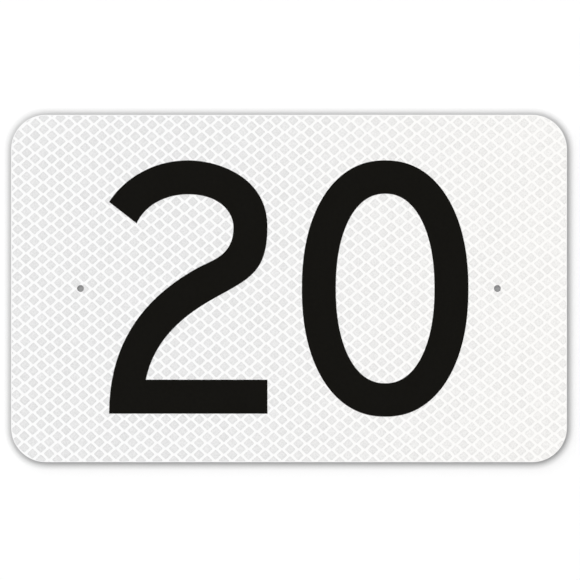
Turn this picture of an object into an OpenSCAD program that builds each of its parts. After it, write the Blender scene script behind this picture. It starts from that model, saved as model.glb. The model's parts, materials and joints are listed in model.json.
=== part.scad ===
// Hectometre marker sign: a flat aluminium plate with rounded corners and two fixing holes,
// faced with white reflective sheeting that carries the numerals 2 and 0 in black film.
// The sign stands upright and is read from the front, which faces -Y, with +X to the right
// and +Z up. The origin is the centre of the plate's back face.

/* [Plate] */
// Width of the sign plate
plate_w = 400; // [370:5:600]
// Height of the sign plate
plate_h = 250; // [220:5:400]
// Thickness of the aluminium sheet
plate_t = 2; // [1.5:0.5:4]
// Radius of the plate's four corners
corner_r = 25; // [5:1:60]
// Width of the small bevel left where the plate's cut edges are deburred
edge_break = 0.1; // [0.05:0.05:0.5]

/* [Fixing holes] */
// Distance between the centres of the two fixing holes
hole_spacing = 300; // [285:5:340]
// Diameter of a fixing hole, a clearance hole for a 4.8 mm blind rivet
hole_d = 5; // [3:0.5:9]

/* [Sheeting] */
// Thickness of the reflective sheeting with its adhesive
sheeting_t = 0.45; // [0.2:0.05:0.8]

/* [Numerals] */
// Height of a numeral from its foot to its flat top line
digit_h = 180; // [150:1:190]
// How far round tops and bottoms reach past those lines
overshoot = 2.2; // [0:0.1:4]
// Width of the strokes
stroke_w = 24.4; // [16:0.1:28]
// How much thinner the 0 is at its top and bottom than at its sides
zero_thinning = 0.4; // [0:0.1:2]
// Width of the numeral 2
two_w = 113.9; // [100:0.1:120]
// Width of the numeral 0
zero_w = 119.8; // [105:0.1:125]
// Clear gap between the two numerals
digit_gap = 24.8; // [15:0.1:30]
// How far right of the plate's centre the middle of the pair stands
pair_shift = -0.2; // [-5:0.1:5]
// Thickness of the black film
digit_t = 0.15; // [0.05:0.05:0.3]
// How square the 0 is, where 2 is a plain ellipse
zero_squareness = 2.2; // [2:0.05:3]

/* [Hidden] */

// Facets of a full circle, and points on one curve of a numeral
circle_steps = 144;
curve_steps = 20;

// Depth by which a cutter runs past the faces that it cuts
cut_past = 1;

// Faces, counted forwards from the back of the plate
sheeting_z = plate_t;
digit_z = sheeting_z + sheeting_t;

// Places of the numerals: the left edge of the 2, the middle of the 0 and the foot of both
pair_w = two_w + digit_gap + zero_w;
two_x = pair_shift - pair_w / 2;
zero_x = pair_shift + pair_w / 2 - zero_w / 2;
foot_y = -digit_h / 2;

// Knots of the 2, placed from its foot at the lower left corner of its box
two_top = digit_h + overshoot;
two_crown_x = two_w / 2;
two_bowl_out_y = 0.748 * digit_h;
two_bowl_in_y = 0.743 * digit_h;
two_tip_y = 0.846 * digit_h;
two_neck_under = [0.718 * two_w, 0.48 * digit_h];
two_heel_x = 0.232 * two_w;

// The stroke of the 2 rises at this slope through its neck, where the bowl runs into the leg.
// It swells a little there, and is as wide as that across the given heading.
neck_rise = 29.1;
neck_swell = 1.5;
neck_side = 135;
two_neck_over = two_neck_under + (stroke_w + neck_swell) * heading(neck_side);

// The tip of the 2 is cut off along a slant, so the cut is a little longer than the stroke
tip_cut = -37.8;
tip_slant = 13.5;
two_tip_out = [0, two_tip_y];
two_tip_in = two_tip_out + stroke_w / cos(tip_slant) * heading(tip_cut);

// Unit vector at an angle in degrees
function heading(angle) = [cos(angle), sin(angle)];

// Points of a cubic curve from a to b, without b. The curve leaves a along the heading leave
// and reaches b along the heading arrive. Each pull is the share of the chord's length that
// the curve's handle takes at that end.
function curve(a, leave, pull_a, pull_b, arrive, b) =
    let (
        chord = norm(b - a),
        handle_a = a + pull_a * chord * heading(leave),
        handle_b = b - pull_b * chord * heading(arrive)
    )
    [
        for (i = [0 : curve_steps - 1])
            let (t = i / curve_steps, s = 1 - t)
            s * s * s * a + 3 * s * s * t * handle_a + 3 * s * t * t * handle_b + t * t * t * b
    ];

// Outline of the 2, clockwise from the lower left corner of its foot
function two_outline() =
    let (
        bowl_in = [two_w - stroke_w, two_bowl_in_y],
        crown_in = [two_crown_x, two_top - stroke_w],
        crown_out = [two_crown_x, two_top],
        bowl_out = [two_w, two_bowl_out_y],
        heel = [two_heel_x, stroke_w]
    )
    concat(
        curve([0, 0], 90, 0.45, 0.32, neck_rise, two_neck_over),
        curve(two_neck_over, neck_rise, 0.3, 0.52, 90, bowl_in),
        curve(bowl_in, 90, 0.31, 0.52, 180, crown_in),
        curve(crown_in, 180, 0.36, 0.36, 245.5, two_tip_in),
        [two_tip_in],
        curve(two_tip_out, 57.6, 0.28, 0.42, 0, crown_out),
        curve(crown_out, 0, 0.29, 0.48, -90, bowl_out),
        curve(bowl_out, -90, 0.53, 0.41, neck_rise - 180, two_neck_under),
        curve(two_neck_under, neck_rise - 180, 0.18, 0.46, -101, heel),
        [heel, [two_w, stroke_w], [two_w, 0]]
    );

// Superellipse of the given half width and half height, centred on the origin
function superellipse(half_w, half_h, squareness) = [
    for (i = [0 : circle_steps - 1])
        let (a = 360 * i / circle_steps, c = cos(a), s = sin(a))
        [
            half_w * sign(c) * pow(abs(c), 2 / squareness),
            half_h * sign(s) * pow(abs(s), 2 / squareness)
        ]
];

// Turns what is drawn flat, with its front upwards, to stand with its front facing -Y
module stand_upright() {
    rotate([90, 0, 0])
        children();
}

// Half of the section across a deburred sheet, from its middle out to the cut edge
module half_section(reach) {
    polygon([
        [0, 0],
        [reach - edge_break, 0],
        [reach, edge_break],
        [reach, plate_t - edge_break],
        [reach - edge_break, plate_t],
        [0, plate_t]
    ]);
}

// Straight length of deburred sheet, across X to its two broken edges and run along Y
module sheet_span(reach, run) {
    rotate([90, 0, 0])
        linear_extrude(run, center = true) {
            half_section(reach);
            mirror([1, 0])
                half_section(reach);
        }
}

// The plate before it is punched: four turned corners and the two spans between them
module blank() {
    for (x = [-1, 1], y = [-1, 1])
        translate([x * (plate_w / 2 - corner_r), y * (plate_h / 2 - corner_r), 0])
            rotate_extrude($fn = circle_steps)
                half_section(corner_r);
    sheet_span(plate_w / 2, plate_h - 2 * corner_r);
    rotate([0, 0, 90])
        sheet_span(plate_h / 2, plate_w - 2 * corner_r);
}

// Outline of a rectangle with round corners
module rounded_rectangle(w, h, r) {
    square([w - 2 * r, h], center = true);
    square([w, h - 2 * r], center = true);
    for (x = [-1, 1], y = [-1, 1])
        translate([x * (w / 2 - r), y * (h / 2 - r)])
            circle(r, $fn = circle_steps);
}

// Cutters for the two fixing holes, through everything from the back face forwards
module fixing_holes() {
    for (side = [-1, 1])
        translate([side * hole_spacing / 2, 0, -cut_past])
            cylinder(d = hole_d, h = digit_z + 2 * cut_past, $fn = circle_steps);
}

// Aluminium plate, punched and deburred
module plate() {
    color("silver")
        stand_upright()
            difference() {
                blank();
                fixing_holes();
            }
}

// Reflective sheeting on the flat of the plate's front face, punched with the plate
module reflective_sheeting() {
    color("whitesmoke")
        stand_upright()
            difference() {
                translate([0, 0, sheeting_z])
                    linear_extrude(sheeting_t)
                        rounded_rectangle(
                            plate_w - 2 * edge_break,
                            plate_h - 2 * edge_break,
                            corner_r - edge_break
                        );
                fixing_holes();
            }
}

// Numeral 2, cut from black film
module digit_two() {
    color("black")
        stand_upright()
            translate([two_x, foot_y, digit_z])
                linear_extrude(digit_t)
                    polygon(two_outline());
}

// Numeral 0, cut from black film
module digit_zero() {
    half_w = zero_w / 2;
    half_h = digit_h / 2 + overshoot;
    crown_w = stroke_w - zero_thinning;
    color("black")
        stand_upright()
            translate([zero_x, 0, digit_z])
                linear_extrude(digit_t)
                    difference() {
                        polygon(superellipse(half_w, half_h, zero_squareness));
                        polygon(superellipse(half_w - stroke_w, half_h - crown_w, zero_squareness));
                    }
}

plate();
reflective_sheeting();
digit_two();
digit_zero();
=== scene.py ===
"""Dresses the hectometre marker sign: its sealed reflective sheeting, black film numerals and bare
aluminium plate, with a white wall, a pale floor, soft light and a camera straight in front."""

import json
import math

import bpy
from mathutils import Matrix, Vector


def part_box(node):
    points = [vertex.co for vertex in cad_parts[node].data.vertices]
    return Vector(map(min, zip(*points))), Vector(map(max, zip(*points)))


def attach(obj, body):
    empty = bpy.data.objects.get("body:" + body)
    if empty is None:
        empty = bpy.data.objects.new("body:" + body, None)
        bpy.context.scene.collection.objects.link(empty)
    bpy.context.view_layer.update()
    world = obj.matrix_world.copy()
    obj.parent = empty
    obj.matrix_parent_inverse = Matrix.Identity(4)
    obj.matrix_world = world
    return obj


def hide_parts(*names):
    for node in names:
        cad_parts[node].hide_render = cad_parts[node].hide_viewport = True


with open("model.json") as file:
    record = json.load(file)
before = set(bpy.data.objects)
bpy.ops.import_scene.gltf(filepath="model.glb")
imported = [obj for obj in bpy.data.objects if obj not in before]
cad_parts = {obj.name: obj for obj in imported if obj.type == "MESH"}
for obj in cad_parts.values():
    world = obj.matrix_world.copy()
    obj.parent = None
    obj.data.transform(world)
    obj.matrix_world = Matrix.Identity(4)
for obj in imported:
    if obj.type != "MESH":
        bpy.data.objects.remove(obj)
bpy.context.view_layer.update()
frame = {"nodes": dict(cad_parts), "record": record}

bl_info = {
    "name": "Hectometre Marker Sign",
    "version": (1, 0, 0),
    "blender": (4, 5, 0),
    "location": "View3D > Sidebar > Marker Sign",
    "description": "Finishes a reflective marker sign and sets its studio",
    "category": "Object",
}

MM = 0.001

# Facets of one of the sheeting's corners, of one hole and of one of a cell's corners
CORNER_STEPS = 32
HOLE_STEPS = 64
CELL_CORNER_STEPS = 3

# Length of the punch for the holes, far more than any film is thick
PUNCH_LENGTH = 10 * MM

# Points nearer to each other than this are one point
MERGE_DISTANCE = 0.001 * MM

# How far down a cell's side its own finish reaches, as a share of the relief
FINISH_DEPTH = 0.9

# Nearly all of a noise texture's values lie between these
NOISE_RANGE = {"From Min": 0.3, "From Max": 0.7}


def linear(hex_colour):
    """Linear red, green and blue of an sRGB hex colour."""
    values = [int(hex_colour[i : i + 2], 16) / 255 for i in (1, 3, 5)]
    return tuple(v / 12.92 if v <= 0.04045 else ((v + 0.055) / 1.055) ** 2.4 for v in values)


def length(name, description, default):
    """A size in metres that a user may change."""
    return bpy.props.FloatProperty(
        name=name, description=description, default=default, subtype="DISTANCE", unit="LENGTH"
    )


def number(name, description, default):
    """A plain number that a user may change."""
    return bpy.props.FloatProperty(name=name, description=description, default=default)


def angle(name, description, degrees):
    """An angle that a user may change, given in degrees."""
    return bpy.props.FloatProperty(
        name=name, description=description, default=math.radians(degrees), subtype="ANGLE"
    )


def colour(name, description, default):
    """A colour that a user may change, given as an sRGB hex value."""
    return bpy.props.FloatVectorProperty(
        name=name, description=description, default=linear(default), subtype="COLOR", min=0, max=1
    )


def mount(name):
    """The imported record's mount of that name."""
    return next(m for m in frame["record"]["mounts"] if m["name"] == name)


class SIGN_PG_plate(bpy.types.PropertyGroup):
    """Colours and rolling marks of the bare aluminium."""

    metal: colour("Metal", "Mill-finish aluminium", "#C6C7C9")
    cut_metal: colour("Cut Metal", "Bright metal of the sheared and broken edges", "#D8D9DA")
    mark_length: length("Mark Length", "Length of a rolling mark", 90 * MM)
    mark_width: length("Mark Width", "Width of a rolling mark", 0.8 * MM)
    mark_depth: length("Mark Depth", "How far a mark runs on across a cut edge", 5 * MM)
    mark_relief: length("Mark Relief", "Height of the rolling marks", 0.01 * MM)
    mark_dark: number("Mark Dark", "Brightness of the darkest marks", 0.93)
    mark_bright: number("Mark Bright", "Brightness of the brightest marks", 1.05)
    roughness: number("Roughness", "Roughness of the rolled faces", 0.38)
    mark_swing: number("Mark Swing", "How much rougher or smoother a mark may be", 0.05)
    patch_size: length("Patch Size", "Size of the duller and brighter patches", 60 * MM)
    patch_swing: number("Patch Swing", "How much rougher or smoother a patch may be", 0.03)
    cut_roughness: number("Cut Roughness", "How much rougher the cut edges are", 0.1)


class SIGN_PG_sheeting(bpy.types.PropertyGroup):
    """Sizes, colours and surface of the reflective sheeting."""

    corner_radius: length("Corner Radius", "Radius of the sheeting's corners", 24.9 * MM)
    seal_pitch: length("Seal Pitch", "Distance between neighbouring parallel seals", 6.892 * MM)
    seal_slope: angle("Seal Slope", "Angle between a seal line and the lattice's level", 35.35)
    lattice_turn: angle("Lattice Turn", "How far clockwise the film was laid askew", 0.504)
    lattice_taper: number("Lattice Taper", "How the stretched film narrows, per metre right", 0.0217)
    cell_x: length("Cell Place X", "How far right of the plate's centre a cell stands", 1.878 * MM)
    cell_z: length("Cell Place Z", "How far above the plate's centre that cell stands", 2.622 * MM)
    cell_width: length("Cell Width", "Width of a cell between its sharp corners", 8.05 * MM)
    cell_height: length("Cell Height", "Height of a cell between its sharp corners", 7.5 * MM)
    cell_rounding: length("Cell Rounding", "Radius of a cell's corners", 0.7 * MM)
    relief: length("Relief", "Height of the cells above the seal lines", 0.05 * MM)
    shoulder: length("Shoulder", "Width of the slope from a cell down to its seal", 0.2 * MM)
    rim: length("Rim", "Width of the plain sealed rim along the edge", 0.5 * MM)
    hole_rim: length("Hole Rim", "Width of the plain rim round a punched hole", 0.2 * MM)

    # The right-hand colours are lighter and warmer: painted light, standing in for brighter light on
    # the sign's right
    seal_left: colour("Seal Colour Left", "Sealed white backing at the left", "#F8F8F8")
    seal_right: colour("Seal Colour Right", "Sealed white backing at the right", "#F9F8F6")
    cell_left: colour("Cell Colour Left", "Prismatic cells at the left", "#E1E1E1")
    cell_right: colour("Cell Colour Right", "Prismatic cells at the right", "#ECEBE9")
    tint_start: length("Tint Start", "Where the left colours start to turn", -110 * MM)
    tint_end: length("Tint End", "Where the right colours are reached", 230 * MM)
    face_ior: number("Face IOR", "Refractive index of the acrylic face", 1.49)
    face_roughness: number("Face Roughness", "Roughness of the acrylic face", 0.28)
    wave_length: length("Wave Length", "Distance over which the laid film waves", 5 * MM)
    wave_relief: length("Wave Relief", "Height of those waves", 0.006 * MM)

    cell_spread: number("Cell Spread", "How far one cell's brightness may differ from the next", 0.045)
    rim_shade: number("Rim Shade", "How much darker a cell is along its rim", 0.042)
    rim_start: number("Rim Start", "Share of the way out at which it starts to darken", 0.35)
    rim_full: number("Rim Full", "Share of the way out at which it is darkest", 0.85)
    rim_fade: number("Rim Fade", "How much lighter the rim gets where it meets the seal", 0.04)
    fade_start: number("Fade Start", "Share of the way out at which it starts to lighten", 0.8)
    cloud_size: length("Cloud Size", "Size of the brighter and darker clouds in a cell", 0.9 * MM)
    cell_grain: number("Cell Grain", "How far the brightness varies between those clouds", 0.12)
    prism_pitch: length("Prism Pitch", "Distance between neighbouring prisms", 0.45 * MM)
    # A prism's foot is painted darker than its peak: painted shade for its facets
    prism_painted_shade: number("Prism Facet", "How much brighter a prism's peak is than its foot", 0.1)
    prism_spread: number("Prism Spread", "How far one prism's brightness may differ", 0.06)


class SIGN_PG_numerals(bpy.types.PropertyGroup):
    """Colour and surface of the black film."""

    film: colour("Film", "Black vinyl of the numerals", "#0E0D0A")
    specular: number("Specular Level", "Strength of its reflection, where 0.5 is plain plastic", 0.04)
    mottle_size: length("Mottle Size", "Size of the lighter and darker spots", 2.5 * MM)
    mottle: number("Mottle", "How much lighter or darker a spot may be", 0.1)
    roughness: number("Roughness", "Roughness of the film's face", 0.5)
    patch_size: length("Patch Size", "Size of the duller and smoother patches", 25 * MM)
    patch_swing: number("Patch Swing", "How much rougher or smoother a patch may be", 0.08)
    grain_size: length("Grain Size", "Size of the bumps in the film's face", 1.2 * MM)
    grain_relief: length("Grain Relief", "Height of those bumps", 0.004 * MM)


class SIGN_PG_stage(bpy.types.PropertyGroup):
    """The camera, the light and the white surroundings."""

    picture_width: length("Picture Width", "Width of the picture at the sign's face", 417.27 * MM)
    centre_right: length("Centre Right", "How far right of the sign's centre the camera is", 0.72 * MM)
    centre_down: length("Centre Down", "How far below the sign's centre the camera is", 1.08 * MM)
    lens: number("Lens", "Focal length in millimetres", 500)

    wall_gap: length("Wall Gap", "Space between the plate's back and the wall", 1.6 * MM)
    floor_drop: length("Floor Drop", "Height of the sign's centre above the floor", 220 * MM)
    room_reach: length("Room Reach", "How far the wall and the floor run", 6)
    floor_paint: colour("Floor Paint", "Pale paint of the floor", "#F1F1EF")
    floor_near: length("Floor Near", "Distance at which the floor starts to turn white", 0.8)
    floor_far: length("Floor Far", "Distance at which the floor is plain white", 5)
    # Painted shade on the wall: its colour is darkened near the plate and down the holes
    contact_reach: length("Contact Reach", "How near a thing must be to shade the wall", 6.1 * MM)
    contact_share: number("Contact Share", "Share of open view at which a spot is fully shaded", 0.73)
    contact_shade: number("Contact Shade", "Brightness of the wall where it is fully shaded", 0.69)
    hole_share: number("Hole Share", "Share of open view below which a spot is down a hole", 0.5)
    hole_shade: number("Hole Shade", "Brightness left to the deepest spot down a hole", 0.64)

    key_level: number("Key Level", "Share of white paint's brightness from the key light", 0.99)
    key_spread: angle("Key Spread", "Width of the soft key light", 116)
    key_side: angle("Key Side", "How far the key light stands to the left", 24)
    key_height: angle("Key Height", "How far the key light stands above the sign", 24)
    front_glow: number("Front Glow", "Brightness of the room that the sign faces", 0.2)
    back_low: number("Back Low", "Brightness of the room behind the sign, low down", 0.585)
    back_high: number("Back High", "Brightness of the room behind the sign, high up", 1.56)
    low_way: number("Low Way", "Upward part of a direction that counts as low", -0.5)
    high_way: number("High Way", "Upward part of a direction that counts as high", 0.7)
    turn_way: number("Turn Way", "Inward part of a direction at which front gives way to back", 0.15)
    gap_glow: number("Gap Glow", "Brightness of the gap between plate and wall", 0.36)


def feed(tree, socket, value):
    """Links a socket to a node or another socket, or gives it a plain value."""
    if isinstance(value, bpy.types.Node):
        value = next(s for s in value.outputs if s.enabled)
    if isinstance(value, bpy.types.NodeSocket):
        tree.links.new(value, socket)
    else:
        socket.default_value = value


def add_node(tree, kind, inputs=(), **settings):
    """Adds a node with its settings, and feeds its inputs: a dict by name, a tuple in their order.

    An input takes a value, a node or a socket, or a list of them where it joins several.
    """
    node = tree.nodes.new(kind)
    for name, value in settings.items():
        setattr(node, name, value)
    sockets = [s for s in node.inputs if s.enabled]
    if isinstance(inputs, dict):
        sockets = [next(s for s in sockets if name in (s.name, s.identifier)) for name in inputs]
        inputs = inputs.values()
    for socket, value in zip(sockets, inputs):
        for source in value if isinstance(value, list) else [value]:
            feed(tree, socket, source)
    return node


def bare_tree(owner):
    """The node tree of a material or a world, emptied."""
    owner.use_nodes = True
    owner.node_tree.nodes.clear()
    return owner.node_tree


def new_material(name):
    """A material with its Principled shader joined to the output."""
    material = bpy.data.materials.new(name)
    tree = bare_tree(material)
    shader = add_node(tree, "ShaderNodeBsdfPrincipled")
    add_node(tree, "ShaderNodeOutputMaterial", {"Surface": shader})
    return material, tree, shader


def patches(tree, *size, detail=2):
    """Soft patches between 0 and 1, of a real size: one length, or one each along X, Y and Z."""
    place = add_node(tree, "ShaderNodeTexCoord").outputs["Object"]
    lengths = size if len(size) == 3 else 3 * size
    scaled = add_node(tree, "ShaderNodeVectorMath", (place, lengths), operation="DIVIDE")
    return add_node(tree, "ShaderNodeTexNoise", {"Vector": scaled, "Scale": 1.0, "Detail": detail})


def painted_light_sweep(tree, left, right):
    """The sheeting's colour, painted lighter and warmer from the left of the sign to its right: a
    painted light gradient, as if more light fell on its right.
    """
    settings = bpy.context.scene.sign_sheeting
    place = add_node(tree, "ShaderNodeTexCoord").outputs["Object"]
    across = add_node(tree, "ShaderNodeSeparateXYZ", {"Vector": place}).outputs["X"]
    turn = {"Value": across, "From Min": settings.tint_start, "From Max": settings.tint_end}
    share = add_node(tree, "ShaderNodeMapRange", turn, interpolation_type="SMOOTHSTEP")
    ends = {"Factor": share, "A": (*left, 1), "B": (*right, 1)}
    return add_node(tree, "ShaderNodeMix", ends, data_type="RGBA")


def face_film(tree, shader):
    """The clear acrylic face that covers the sheeting: glossy, with the faint waves of a laid film."""
    settings = bpy.context.scene.sign_sheeting
    feed(tree, shader.inputs["IOR"], settings.face_ior)
    feed(tree, shader.inputs["Roughness"], settings.face_roughness)
    waves = {"Height": patches(tree, settings.wave_length), "Distance": settings.wave_relief}
    feed(tree, shader.inputs["Normal"], add_node(tree, "ShaderNodeBump", waves))


def sealed_acrylic():
    """Acrylic face sealed by heat to white backing: a bright white line, painted lighter towards the
    right as painted light.
    """
    settings = bpy.context.scene.sign_sheeting
    material, tree, shader = new_material("heat_sealed_acrylic")
    feed(tree, shader.inputs["Base Color"], painted_light_sweep(tree, settings.seal_left, settings.seal_right))
    face_film(tree, shader)
    return material


def rim_brightness(tree, centre):
    """How a cell darkens towards its rim and lightens again at its very edge, around 1."""
    settings = bpy.context.scene.sign_sheeting
    place = add_node(tree, "ShaderNodeTexCoord").outputs["Object"]
    offset = add_node(tree, "ShaderNodeVectorMath", (place, centre), operation="SUBTRACT")
    offset = add_node(tree, "ShaderNodeVectorMath", (offset,), operation="ABSOLUTE")

    # The way out is 0 at a cell's centre and 1 along its sharp edge
    reach = (2 / settings.cell_width, 0, 2 / settings.cell_height)
    way_out = add_node(tree, "ShaderNodeVectorMath", (offset, reach), operation="DOT_PRODUCT")
    half = settings.rim_shade / 2
    darker = {
        "Value": way_out,
        "From Min": settings.rim_start,
        "From Max": settings.rim_full,
        "To Min": 1 + half,
        "To Max": 1 - half,
    }
    darker = add_node(tree, "ShaderNodeMapRange", darker, interpolation_type="SMOOTHSTEP")
    lighter = {"Value": way_out, "From Min": settings.fade_start, "To Max": settings.rim_fade}
    lighter = add_node(tree, "ShaderNodeMapRange", lighter, interpolation_type="SMOOTHSTEP")
    return add_node(tree, "ShaderNodeMath", (darker, lighter), operation="ADD")


def cell_brightness(tree, centre):
    """The tone of each whole cell by chance, around 1."""
    settings = bpy.context.scene.sign_sheeting
    chance = add_node(tree, "ShaderNodeTexWhiteNoise", {"Vector": centre}).outputs["Value"]
    tone = (chance, settings.cell_spread, 1 - settings.cell_spread / 2)
    return add_node(tree, "ShaderNodeMath", tone, operation="MULTIPLY_ADD")


def cloud_brightness(tree):
    """Soft clouds within the cells, around 1."""
    settings = bpy.context.scene.sign_sheeting
    half = settings.cell_grain / 2
    clouds = {
        "Value": patches(tree, settings.cloud_size),
        "To Min": 1 - half,
        "To Max": 1 + half,
        **NOISE_RANGE,
    }
    return add_node(tree, "ShaderNodeMapRange", clouds, interpolation_type="SMOOTHSTEP")


def prism_brightness(tree):
    """The prisms in the cells, 1 on average: each is painted brighter at its peak and darker at its
    foot, painted shade for the light on its facets, and has its own tone.

    Real ones are half as wide. They are drawn as coarse as they need to be to show from near.
    """
    settings = bpy.context.scene.sign_sheeting
    place = add_node(tree, "ShaderNodeTexCoord").outputs["Object"]

    # The upright face is laid down for the flat pattern, and turned so that its squares stand on end
    laid = {"Vector": place, "Rotation": (math.radians(90), 0, math.radians(45))}
    laid = add_node(tree, "ShaderNodeVectorRotate", laid, rotation_type="EULER_XYZ")
    squares = {"Vector": laid, "Scale": 1 / settings.prism_pitch, "Randomness": 0}
    prism = add_node(
        tree, "ShaderNodeTexVoronoi", squares, voronoi_dimensions="2D", distance="CHEBYCHEV"
    ).outputs

    # Distance grows from 0 at a prism's peak to a half at its foot, and is a third on average
    # Painted shade: each prism is darkened towards its foot, as light would fall on its facets
    fall = 2 * settings.prism_painted_shade
    painted_facet_shade = (prism["Distance"], -fall, 1 + fall / 3)
    painted_facet_shade = add_node(tree, "ShaderNodeMath", painted_facet_shade, operation="MULTIPLY_ADD")
    tone = (prism["Color"], settings.prism_spread, 1 - settings.prism_spread / 2)
    tone = add_node(tree, "ShaderNodeMath", tone, operation="MULTIPLY_ADD")
    return add_node(tree, "ShaderNodeMath", (painted_facet_shade, tone), operation="MULTIPLY")


def prismatic_acrylic():
    """Acrylic moulded in fine prisms: pale grey cells, greyer where the seal pressed their rims.

    The very edge is lighter again, because the prisms melted there, so a cell looks soft-edged.
    """
    settings = bpy.context.scene.sign_sheeting
    material, tree, shader = new_material("microprismatic_acrylic")
    centre = add_node(tree, "ShaderNodeAttribute", attribute_name="cell_centre").outputs["Vector"]
    broad = (rim_brightness(tree, centre), cell_brightness(tree, centre))
    broad = add_node(tree, "ShaderNodeMath", broad, operation="MULTIPLY")
    fine = (cloud_brightness(tree), prism_brightness(tree))
    fine = add_node(tree, "ShaderNodeMath", fine, operation="MULTIPLY")
    value = add_node(tree, "ShaderNodeMath", (broad, fine), operation="MULTIPLY")
    # The cells carry the painted light gradient, lighter towards the right
    toned = {"Color": painted_light_sweep(tree, settings.cell_left, settings.cell_right), "Value": value}
    feed(tree, shader.inputs["Base Color"], add_node(tree, "ShaderNodeHueSaturation", toned))
    face_film(tree, shader)
    return material


def black_vinyl():
    """Cast black vinyl film, cut with a blade: deep black, with a dull face that is faintly mottled."""
    settings = bpy.context.scene.sign_numerals
    material, tree, shader = new_material("cast_black_vinyl")
    spots = {
        "Value": patches(tree, settings.mottle_size, detail=4),
        "To Min": 1 - settings.mottle,
        "To Max": 1 + settings.mottle,
        **NOISE_RANGE,
    }
    spots = add_node(tree, "ShaderNodeMapRange", spots, interpolation_type="SMOOTHSTEP")
    toned = {"Color": (*settings.film, 1), "Value": spots}
    feed(tree, shader.inputs["Base Color"], add_node(tree, "ShaderNodeHueSaturation", toned))

    rough = {
        "Value": patches(tree, settings.patch_size),
        "To Min": settings.roughness - settings.patch_swing,
        "To Max": settings.roughness + settings.patch_swing,
        **NOISE_RANGE,
    }
    rough = add_node(tree, "ShaderNodeMapRange", rough, interpolation_type="SMOOTHSTEP")
    feed(tree, shader.inputs["Roughness"], rough)
    feed(tree, shader.inputs["Specular IOR Level"], settings.specular)
    bumps = {"Height": patches(tree, settings.grain_size), "Distance": settings.grain_relief}
    feed(tree, shader.inputs["Normal"], add_node(tree, "ShaderNodeBump", bumps))
    return material


def mill_aluminium():
    """Rolled aluminium sheet left bare: grey, with fine marks along the rolling direction.

    The sheared and broken edges are brighter, and rougher across the cut.
    """
    settings = bpy.context.scene.sign_plate
    material, tree, shader = new_material("mill_finish_aluminium")
    feed(tree, shader.inputs["Metallic"], 1.0)
    marks = patches(tree, settings.mark_length, settings.mark_depth, settings.mark_width, detail=4)

    # What doesn't face straight forwards or back was cut
    square_on = 0.95
    facing = add_node(tree, "ShaderNodeNewGeometry").outputs["Normal"]
    side = add_node(tree, "ShaderNodeSeparateXYZ", {"Vector": facing}).outputs["Y"]
    side = add_node(tree, "ShaderNodeMath", (side,), operation="ABSOLUTE")
    rolled = add_node(tree, "ShaderNodeMath", (side, square_on), operation="GREATER_THAN")
    cut = add_node(tree, "ShaderNodeMath", (1.0, rolled), operation="SUBTRACT")

    base = {"Factor": rolled, "A": (*settings.cut_metal, 1), "B": (*settings.metal, 1)}
    base = add_node(tree, "ShaderNodeMix", base, data_type="RGBA")
    shade = {
        "Value": marks,
        "To Min": settings.mark_dark,
        "To Max": settings.mark_bright,
        **NOISE_RANGE,
    }
    shade = add_node(tree, "ShaderNodeMapRange", shade, interpolation_type="SMOOTHSTEP")
    toned = add_node(tree, "ShaderNodeHueSaturation", {"Color": base, "Value": shade})
    feed(tree, shader.inputs["Base Color"], toned)

    rough = {
        "Value": marks,
        "To Min": settings.roughness - settings.mark_swing,
        "To Max": settings.roughness + settings.mark_swing,
        **NOISE_RANGE,
    }
    rough = add_node(tree, "ShaderNodeMapRange", rough, interpolation_type="SMOOTHSTEP")
    swing = {
        "Value": patches(tree, settings.patch_size),
        "To Min": -settings.patch_swing,
        "To Max": settings.patch_swing,
        **NOISE_RANGE,
    }
    swing = add_node(tree, "ShaderNodeMapRange", swing, interpolation_type="SMOOTHSTEP")
    rough = add_node(tree, "ShaderNodeMath", (rough, swing), operation="ADD")
    rough = (cut, settings.cut_roughness, rough)
    rough = add_node(tree, "ShaderNodeMath", rough, operation="MULTIPLY_ADD")
    feed(tree, shader.inputs["Roughness"], rough)
    relief = {"Height": marks, "Distance": settings.mark_relief}
    feed(tree, shader.inputs["Normal"], add_node(tree, "ShaderNodeBump", relief))
    return material


def dress(name, material):
    """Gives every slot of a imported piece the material."""
    for slot in frame["nodes"][name].material_slots:
        slot.material = material


def closed_prism(tree, outline, depth):
    """A filled outline raised by depth: the raised shell, and the face that closes it below."""
    face = add_node(tree, "GeometryNodeFillCurve", {"Curve": outline}, mode="NGONS")
    under = add_node(tree, "GeometryNodeFlipFaces", {"Mesh": face})
    rise = {"Mesh": face, "Offset Scale": depth, "Individual": False}
    return add_node(tree, "GeometryNodeExtrudeMesh", rise), under


def joined(tree, *parts):
    """Joins open parts that share their edges into one closed mesh."""
    both = add_node(tree, "GeometryNodeJoinGeometry", {"Geometry": list(parts)})
    return add_node(tree, "GeometryNodeMergeByDistance", {"Geometry": both, "Distance": MERGE_DISTANCE})


def rounded_sheet(tree, size, radius, depth, hole_spacing, hole_radius):
    """A sheet with round corners and two holes, from level 0 up to depth."""
    sharp = add_node(tree, "GeometryNodeCurvePrimitiveQuadrilateral", size)
    rounding = {"Curve": sharp, "Radius": radius, "Count": CORNER_STEPS}
    outline = add_node(tree, "GeometryNodeFilletCurve", rounding, mode="POLY")
    body = joined(tree, *closed_prism(tree, outline, depth))
    punch = {"Vertices": HOLE_STEPS, "Radius": hole_radius, "Depth": PUNCH_LENGTH}
    punch = add_node(tree, "GeometryNodeMeshCylinder", punch).outputs["Mesh"]
    for side in (-0.5, 0.5):
        across = add_node(tree, "ShaderNodeMath", (hole_spacing, side), operation="MULTIPLY")
        place = add_node(tree, "ShaderNodeCombineXYZ", {"X": across})
        placed = add_node(tree, "GeometryNodeTransform", {"Geometry": punch, "Translation": place})
        pair = {"Mesh 1": body, "Mesh 2": placed}
        body = add_node(
            tree, "GeometryNodeMeshBoolean", pair, operation="DIFFERENCE", solver="MANIFOLD"
        )
    return body


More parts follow.
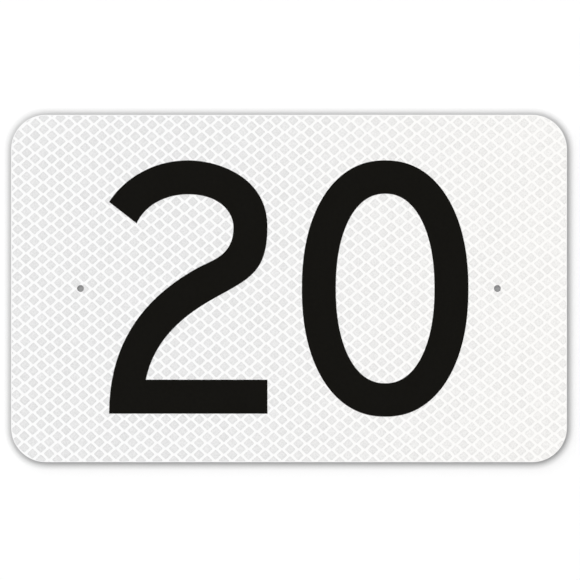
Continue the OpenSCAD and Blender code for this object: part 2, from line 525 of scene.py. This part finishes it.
def cell_shape(tree, given, root):
    """One cell: a root as deep as told, and above it a shoulder that slopes in to a flat top."""
    half = add_node(tree, "ShaderNodeMath", (given["Cell Height"], 0.5), operation="MULTIPLY")
    size = {"Width": given["Cell Width"], "Bottom Height": half, "Top Height": half}
    sharp = add_node(tree, "GeometryNodeCurvePrimitiveQuadrilateral", size, mode="KITE")
    rounding = {"Curve": sharp, "Radius": given["Cell Rounding"], "Count": CELL_CORNER_STEPS}
    outline = add_node(tree, "GeometryNodeFilletCurve", rounding, mode="POLY")
    wall, under = closed_prism(tree, outline, root)
    rise = {
        "Mesh": wall.outputs["Mesh"],
        "Selection": wall.outputs["Top"],
        "Offset Scale": given["Relief"],
        "Individual": False,
    }
    raised = add_node(tree, "GeometryNodeExtrudeMesh", rise).outputs
    slope = {"Geometry": raised["Mesh"], "Selection": raised["Top"], "Scale": given["Shoulder Scale"]}
    shoulder = add_node(tree, "GeometryNodeScaleElements", slope, domain="FACE")
    return joined(tree, shoulder, under)


def cell_centres(tree, given):
    """The cells' centres: two grids, one halfway between the other's, turned, placed and tapered."""
    grid = {}
    step = {}
    for axis, count in (("X", given["Columns"]), ("Y", given["Rows"])):
        pitch = given[f"Pitch {axis}"]
        grid[f"Size {axis}"] = add_node(tree, "ShaderNodeMath", (count, pitch), operation="MULTIPLY")
        grid[f"Vertices {axis}"] = add_node(tree, "ShaderNodeMath", (count, 1), operation="ADD")
        step[axis] = add_node(tree, "ShaderNodeMath", (pitch, 0.5), operation="MULTIPLY")
    points = add_node(tree, "GeometryNodeMeshGrid", grid).outputs["Mesh"]
    halfway = add_node(tree, "ShaderNodeCombineXYZ", step)
    between = add_node(tree, "GeometryNodeTransform", {"Geometry": points, "Translation": halfway})
    both = add_node(tree, "GeometryNodeJoinGeometry", {"Geometry": [points, between]})

    place = {"X": given["Cell Place X"], "Y": given["Cell Place Z"]}
    place = add_node(tree, "ShaderNodeCombineXYZ", place)
    laid = {"Geometry": both, "Translation": place, "Rotation": given["Turn"]}
    laid = add_node(tree, "GeometryNodeTransform", laid)

    # The further right, the more the film was stretched, and the closer its cells stand
    here = add_node(tree, "GeometryNodeInputPosition")
    across = add_node(tree, "ShaderNodeSeparateXYZ", {"Vector": here}).outputs["X"]
    narrower = (across, given["Taper"], 1.0)
    narrower = add_node(tree, "ShaderNodeMath", narrower, operation="MULTIPLY_ADD")
    share = add_node(tree, "ShaderNodeMath", (1.0, narrower), operation="DIVIDE")
    drawn_in = add_node(tree, "ShaderNodeVectorMath", (here, share), operation="SCALE")
    return add_node(tree, "GeometryNodeSetPosition", {"Geometry": laid, "Position": drawn_in})


def sheeting_inputs(tree):
    """Gives the tree its named inputs and its one output, and returns the inputs' sockets."""
    sockets = {
        "NodeSocketFloat": (
            "Width",
            "Height",
            "Corner Radius",
            "Thickness",
            "Level",
            "Hole Spacing",
            "Hole Radius",
            "Hole Rim",
            "Rim",
            "Pitch X",
            "Pitch Y",
            "Cell Width",
            "Cell Height",
            "Cell Rounding",
            "Cell Place X",
            "Cell Place Z",
            "Relief",
            "Shoulder Scale",
            "Taper",
        ),
        "NodeSocketInt": ("Columns", "Rows"),
        "NodeSocketRotation": ("Turn", "Stand Up"),
        "NodeSocketMaterial": ("Seal Material", "Cell Material"),
    }
    for kind, names in sockets.items():
        for name in names:
            tree.interface.new_socket(name=name, in_out="INPUT", socket_type=kind)
    tree.interface.new_socket(name="Geometry", in_out="OUTPUT", socket_type="NodeSocketGeometry")
    return add_node(tree, "NodeGroupInput").outputs


def cell_lattice(tree, given, centres, seal_height):
    """The raised cells, which stop short of the sheeting's edge and of its holes."""
    size = {}
    for side in ("Width", "Height"):
        within = (given["Rim"], -2, given[side])
        size[side] = add_node(tree, "ShaderNodeMath", within, operation="MULTIPLY_ADD")
    radius = (given["Corner Radius"], given["Rim"])
    radius = add_node(tree, "ShaderNodeMath", radius, operation="SUBTRACT")
    tall = add_node(tree, "ShaderNodeMath", (given["Thickness"], 2), operation="MULTIPLY")
    spared = (given["Hole Radius"], given["Hole Rim"])
    spared = add_node(tree, "ShaderNodeMath", spared, operation="ADD")
    clip = rounded_sheet(tree, size, radius, tall, given["Hole Spacing"], spared)

    # A cell is rooted halfway down the base, so that the two overlap and join
    root = add_node(tree, "ShaderNodeMath", (seal_height, 0.5), operation="MULTIPLY")
    cells = {"Points": centres, "Instance": cell_shape(tree, given, root), "Rotation": given["Turn"]}
    cells = add_node(tree, "GeometryNodeInstanceOnPoints", cells)
    lift = add_node(tree, "ShaderNodeCombineXYZ", {"Z": root})
    cells = add_node(tree, "GeometryNodeTransform", {"Geometry": cells, "Translation": lift})
    cells = add_node(tree, "GeometryNodeRealizeInstances", {"Geometry": cells})
    both = {"Mesh 2": [cells, clip]}
    return add_node(tree, "GeometryNodeMeshBoolean", both, operation="INTERSECT", solver="MANIFOLD")


def sheeting_tree():
    """Nodes for the sheeting: a punched base with a lattice of raised cells, stood up on the plate."""
    tree = bpy.data.node_groups.new("sealed_sheeting", "GeometryNodeTree")
    given = sheeting_inputs(tree)
    seal_height = (given["Thickness"], given["Relief"])
    seal_height = add_node(tree, "ShaderNodeMath", seal_height, operation="SUBTRACT")
    size = {"Width": given["Width"], "Height": given["Height"]}
    punched = (given["Hole Spacing"], given["Hole Radius"])
    base = rounded_sheet(tree, size, given["Corner Radius"], seal_height, *punched)
    centres = cell_centres(tree, given)
    cells = cell_lattice(tree, given, centres, seal_height)
    both = {"Mesh 2": [base, cells]}
    film = add_node(tree, "GeometryNodeMeshBoolean", both, operation="UNION", solver="MANIFOLD")

    # What lies above the seals has the cells' finish
    here = add_node(tree, "GeometryNodeInputPosition")
    level = add_node(tree, "ShaderNodeSeparateXYZ", {"Vector": here}).outputs["Z"]
    lowest = (given["Relief"], -FINISH_DEPTH, given["Thickness"])
    lowest = add_node(tree, "ShaderNodeMath", lowest, operation="MULTIPLY_ADD")
    raised = add_node(tree, "ShaderNodeMath", (level, lowest), operation="GREATER_THAN")
    mark = {"Geometry": film, "Name": "raised", "Value": raised}
    film = add_node(tree, "GeometryNodeStoreNamedAttribute", mark, data_type="FLOAT", domain="FACE")

    # The sheeting stands up, and each face keeps the centre of its cell
    lift = add_node(tree, "ShaderNodeCombineXYZ", {"Y": given["Level"]})
    upright = {"Translation": lift, "Rotation": given["Stand Up"]}
    film = add_node(tree, "GeometryNodeTransform", {"Geometry": film, **upright})
    centres = add_node(tree, "GeometryNodeTransform", {"Geometry": centres, **upright})
    nearest = add_node(tree, "GeometryNodeSampleNearest", {"Geometry": centres}, domain="POINT")
    centre = {"Geometry": centres, "Value": here, "Index": nearest}
    centre = add_node(
        tree, "GeometryNodeSampleIndex", centre, data_type="FLOAT_VECTOR", domain="POINT"
    )
    mark = {"Geometry": film, "Name": "cell_centre", "Value": centre}
    film = add_node(
        tree, "GeometryNodeStoreNamedAttribute", mark, data_type="FLOAT_VECTOR", domain="FACE"
    )

    film = add_node(tree, "GeometryNodeRealizeInstances", {"Geometry": film})
    seals = {"Geometry": film, "Material": given["Seal Material"]}
    film = add_node(tree, "GeometryNodeSetMaterial", seals)
    picked = add_node(tree, "GeometryNodeInputNamedAttribute", {"Name": "raised"}, data_type="BOOLEAN")
    cells = {"Geometry": film, "Selection": picked, "Material": given["Cell Material"]}
    film = add_node(tree, "GeometryNodeSetMaterial", cells)
    add_node(tree, "NodeGroupOutput", {"Geometry": film})
    return tree


def set_inputs(modifier, values):
    """Sets a modifier's inputs by their names in its tree."""
    for item in modifier.node_group.interface.items_tree:
        if item.in_out == "INPUT":
            modifier[item.identifier] = values[item.name]


class SIGN_OT_plate(bpy.types.Operator):
    """Gives the plate its bare rolled aluminium"""

    bl_idname = "sign.finish_plate"
    bl_label = "Finish Plate"

    def execute(self, context):
        dress("plate", mill_aluminium())
        return {"FINISHED"}


class SIGN_OT_sheeting(bpy.types.Operator):
    """Makes the reflective sheeting with its lattice of sealed cells"""

    bl_idname = "sign.make_sheeting"
    bl_label = "Make Sheeting"

    def execute(self, context):
        settings = context.scene.sign_sheeting
        low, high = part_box("reflective_sheeting")
        width = high.x - low.x
        height = high.z - low.z
        holes = mount("fixing_holes")["dims"]
        pitch_x = settings.seal_pitch / math.sin(settings.seal_slope)
        pitch_y = settings.seal_pitch / math.cos(settings.seal_slope)

        # Radius of the circle that just fits in a cell
        inner_radius = settings.cell_width * settings.cell_height / 2
        inner_radius /= math.hypot(settings.cell_width, settings.cell_height)
        carrier = bpy.data.objects.new("sheeting_carrier", bpy.data.meshes.new("sheeting_carrier"))
        context.scene.collection.objects.link(carrier)
        modifier = carrier.modifiers.new("sealed_sheeting", "NODES")
        modifier.node_group = sheeting_tree()
        set_inputs(
            modifier,
            {
                "Width": width,
                "Height": height,
                "Corner Radius": settings.corner_radius,
                "Thickness": high.y - low.y,
                "Level": high.y,
                "Hole Spacing": holes["spacing_x_mm"] * MM,
                "Hole Radius": holes["hole_r_mm"] * MM,
                "Hole Rim": settings.hole_rim,
                "Rim": settings.rim,
                "Pitch X": pitch_x,
                "Pitch Y": pitch_y,
                "Cell Width": settings.cell_width,
                "Cell Height": settings.cell_height,
                "Cell Rounding": settings.cell_rounding,
                "Cell Place X": settings.cell_x,
                "Cell Place Z": settings.cell_z,
                "Relief": settings.relief,
                "Shoulder Scale": 1 - settings.shoulder / inner_radius,
                "Taper": settings.lattice_taper,
                "Columns": 2 * math.ceil(width / pitch_x / 2 + 1),
                "Rows": 2 * math.ceil(height / pitch_y / 2 + 1),
                "Turn": (0, 0, -settings.lattice_turn),
                "Stand Up": (math.radians(90), 0, 0),
                "Seal Material": sealed_acrylic(),
                "Cell Material": prismatic_acrylic(),
            },
        )
        graph = context.evaluated_depsgraph_get()
        mesh = bpy.data.meshes.new_from_object(carrier.evaluated_get(graph))
        bpy.data.objects.remove(carrier)
        sheeting = bpy.data.objects.new("sealed_sheeting", mesh)
        context.scene.collection.objects.link(sheeting)
        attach(sheeting, "root")
        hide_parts("reflective_sheeting")
        return {"FINISHED"}


class SIGN_OT_numerals(bpy.types.Operator):
    """Gives the two numerals their black film"""

    bl_idname = "sign.finish_numerals"
    bl_label = "Finish Numerals"

    def execute(self, context):
        film = black_vinyl()
        dress("digit_two", film)
        dress("digit_zero", film)
        return {"FINISHED"}


def panel(name, corners, material):
    """A flat stage surface that only the camera sees, so it takes shadows and light but gives none."""
    mesh = bpy.data.meshes.new(name)
    mesh.from_pydata(corners, [], [tuple(range(len(corners)))])
    mesh.materials.append(material)
    surface = bpy.data.objects.new(name, mesh)
    bpy.context.scene.collection.objects.link(surface)
    for kind in ("diffuse", "glossy", "transmission", "volume_scatter", "shadow"):
        setattr(surface, f"visible_{kind}", False)


def stage_paint(name, paint, other, share):
    """A stage material: paint, and another shader where the share is 1."""
    material = bpy.data.materials.new(name)
    tree = bare_tree(material)
    mixed = {"Fac": share(tree), "Shader": paint(tree), "Shader_001": other(tree)}
    mixed = add_node(tree, "ShaderNodeMixShader", mixed)
    add_node(tree, "ShaderNodeOutputMaterial", {"Surface": mixed})
    return material


def wall_paint(settings):
    """White emulsion paint, rolled on: flat white, with painted shade round things that all but touch
    it.

    The painted shade is darker still down a hole. From behind the wall is clear, so that the back of
    the sign can be seen.
    """

    def paint(tree):
        # Painted shadow: the paint is darkened where its open view is blocked, near the plate and
        # through the holes
        open_view = {"Distance": settings.contact_reach}
        open_view = add_node(tree, "ShaderNodeAmbientOcclusion", open_view).outputs["AO"]
        shaded = {"From Min": settings.contact_share, "To Min": settings.contact_shade}
        shaded = add_node(tree, "ShaderNodeMapRange", {"Value": open_view, **shaded})
        deep = {"From Max": settings.hole_share, "To Min": settings.hole_shade}
        deep = add_node(tree, "ShaderNodeMapRange", {"Value": open_view, **deep})
        white = add_node(tree, "ShaderNodeMath", (shaded, deep), operation="MULTIPLY")
        return add_node(tree, "ShaderNodeBsdfDiffuse", {"Color": white})

    def clear(tree):
        return add_node(tree, "ShaderNodeBsdfTransparent")

    def behind(tree):
        return add_node(tree, "ShaderNodeNewGeometry").outputs["Backfacing"]

    return stage_paint("white_wall_paint", paint, clear, behind)


def floor_paint(settings):
    """Pale matt paint that meets the white of the room far off."""

    def paint(tree):
        return add_node(tree, "ShaderNodeBsdfDiffuse", {"Color": (*settings.floor_paint, 1)})

    def glow(tree):
        return add_node(tree, "ShaderNodeEmission", {"Color": (1, 1, 1, 1), "Strength": 1.0})

    def distance(tree):
        place = add_node(tree, "ShaderNodeTexCoord").outputs["Object"]
        away = add_node(tree, "ShaderNodeVectorMath", (place,), operation="LENGTH")
        fade = {"Value": away, "From Min": settings.floor_near, "From Max": settings.floor_far}
        return add_node(tree, "ShaderNodeMapRange", fade, interpolation_type="SMOOTHSTEP")

    return stage_paint("pale_floor_paint", paint, glow, distance)


def white_room(settings):
    """A room that shows as plain white, seen straight or mirrored in the sign.

    Its light is even in front of the sign. Behind the sign it is brighter above than below. Light
    that reaches the wall by way of the plate's back comes from the gap alone.
    """
    world = bpy.data.worlds.new("white_room")
    bpy.context.scene.world = world
    tree = bare_tree(world)
    place = add_node(tree, "ShaderNodeTexCoord").outputs["Generated"]
    way = add_node(tree, "ShaderNodeSeparateXYZ", {"Vector": place}).outputs
    ray = add_node(tree, "ShaderNodeLightPath").outputs

    sky = {
        "Value": way["Z"],
        "From Min": settings.low_way,
        "From Max": settings.high_way,
        "To Min": settings.back_low,
        "To Max": settings.back_high,
    }
    sky = add_node(tree, "ShaderNodeMapRange", sky, interpolation_type="SMOOTHSTEP")

    # Light that has bounced off a dull surface counts 1, and any other light 0
    bounced = add_node(tree, "ShaderNodeMath", (ray["Diffuse Depth"], 1), operation="MINIMUM")
    back = {"Factor": bounced, "A": sky, "B": settings.gap_glow}
    back = add_node(tree, "ShaderNodeMix", back, data_type="FLOAT")
    behind = {"Value": way["Y"], "From Min": -settings.turn_way, "From Max": settings.turn_way}
    behind = add_node(tree, "ShaderNodeMapRange", behind, interpolation_type="SMOOTHSTEP")
    glow = {"Factor": behind, "A": settings.front_glow, "B": back}
    glow = add_node(tree, "ShaderNodeMix", glow, data_type="FLOAT")

    # Seen straight, or mirrored before any such bounce, the room is plain white
    mirrored = (ray["Is Glossy Ray"], ray["Is Transmission Ray"])
    mirrored = add_node(tree, "ShaderNodeMath", mirrored, operation="MAXIMUM")
    straight = (ray["Is Camera Ray"], mirrored)
    straight = add_node(tree, "ShaderNodeMath", straight, operation="MAXIMUM")
    unbounced = add_node(tree, "ShaderNodeMath", (1.0, bounced), operation="SUBTRACT")
    straight = add_node(tree, "ShaderNodeMath", (straight, unbounced), operation="MULTIPLY")
    seen = add_node(tree, "ShaderNodeMix", {"Factor": straight, "A": glow, "B": 1.0}, data_type="FLOAT")
    room = add_node(tree, "ShaderNodeBackground", {"Color": (1, 1, 1, 1), "Strength": seen})
    add_node(tree, "ShaderNodeOutputWorld", {"Surface": room})


class SIGN_OT_stage(bpy.types.Operator):
    """Sets up the wall, the floor, the light and the camera"""

    bl_idname = "sign.set_stage"
    bl_label = "Set Stage"

    def execute(self, context):
        scene = context.scene
        settings = scene.sign_stage
        reach = settings.room_reach
        ground = -settings.floor_drop
        gap = settings.wall_gap
        left_foot = (-reach, gap, ground)
        right_foot = (reach, gap, ground)
        wall = [left_foot, right_foot, (reach, gap, reach), (-reach, gap, reach)]
        panel("white_wall", wall, wall_paint(settings))
        floor = [(-reach, -reach, ground), (reach, -reach, ground), right_foot, left_foot]
        panel("pale_floor", floor, floor_paint(settings))
        white_room(settings)

        # A broad soft box in front, above and to the left: level 1 would light white paint to white
        light = bpy.data.lights.new("soft_box", "SUN")
        light.energy = settings.key_level * math.pi
        light.angle = settings.key_spread
        lamp = bpy.data.objects.new("soft_box", light)
        lamp.rotation_euler = (math.radians(90) - settings.key_height, 0, -settings.key_side)
        lamp.visible_camera = False
        lamp.visible_glossy = False
        scene.collection.objects.link(lamp)

        camera = bpy.data.cameras.new("camera")
        camera.lens = settings.lens
        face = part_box("reflective_sheeting")[0].y
        distance = settings.picture_width * camera.lens / camera.sensor_width
        viewer = bpy.data.objects.new("camera", camera)
        viewer.location = (settings.centre_right, face - distance, -settings.centre_down)
        viewer.rotation_euler = (math.radians(90), 0, 0)
        scene.collection.objects.link(viewer)
        scene.camera = viewer
        scene.view_settings.view_transform = "Standard"
        return {"FINISHED"}


class SIGN_PT_sidebar(bpy.types.Panel):
    """Lists the sign's steps with their sizes and colours"""

    bl_label = "Marker Sign"
    bl_idname = "SIGN_PT_sidebar"
    bl_space_type = "VIEW_3D"
    bl_region_type = "UI"
    bl_category = "Marker Sign"

    def draw(self, context):
        for step, group in STEPS:
            box = self.layout.box()
            box.operator(step)
            settings = getattr(context.scene, group)
            for name in settings.__annotations__:
                box.prop(settings, name)


STEPS = (
    ("sign.finish_plate", "sign_plate"),
    ("sign.make_sheeting", "sign_sheeting"),
    ("sign.finish_numerals", "sign_numerals"),
    ("sign.set_stage", "sign_stage"),
)

GROUPS = {
    "sign_plate": SIGN_PG_plate,
    "sign_sheeting": SIGN_PG_sheeting,
    "sign_numerals": SIGN_PG_numerals,
    "sign_stage": SIGN_PG_stage,
}

CLASSES = (
    *GROUPS.values(),
    SIGN_OT_plate,
    SIGN_OT_sheeting,
    SIGN_OT_numerals,
    SIGN_OT_stage,
    SIGN_PT_sidebar,
)


def register():
    for kind in CLASSES:
        bpy.utils.register_class(kind)
    for name, group in GROUPS.items():
        setattr(bpy.types.Scene, name, bpy.props.PointerProperty(type=group))


def unregister():
    for name in GROUPS:
        delattr(bpy.types.Scene, name)
    for kind in reversed(CLASSES):
        bpy.utils.unregister_class(kind)


def main():
    register()
    bpy.ops.sign.finish_plate()
    bpy.ops.sign.make_sheeting()
    bpy.ops.sign.finish_numerals()
    bpy.ops.sign.set_stage()


if __name__ == "__main__":
    main()
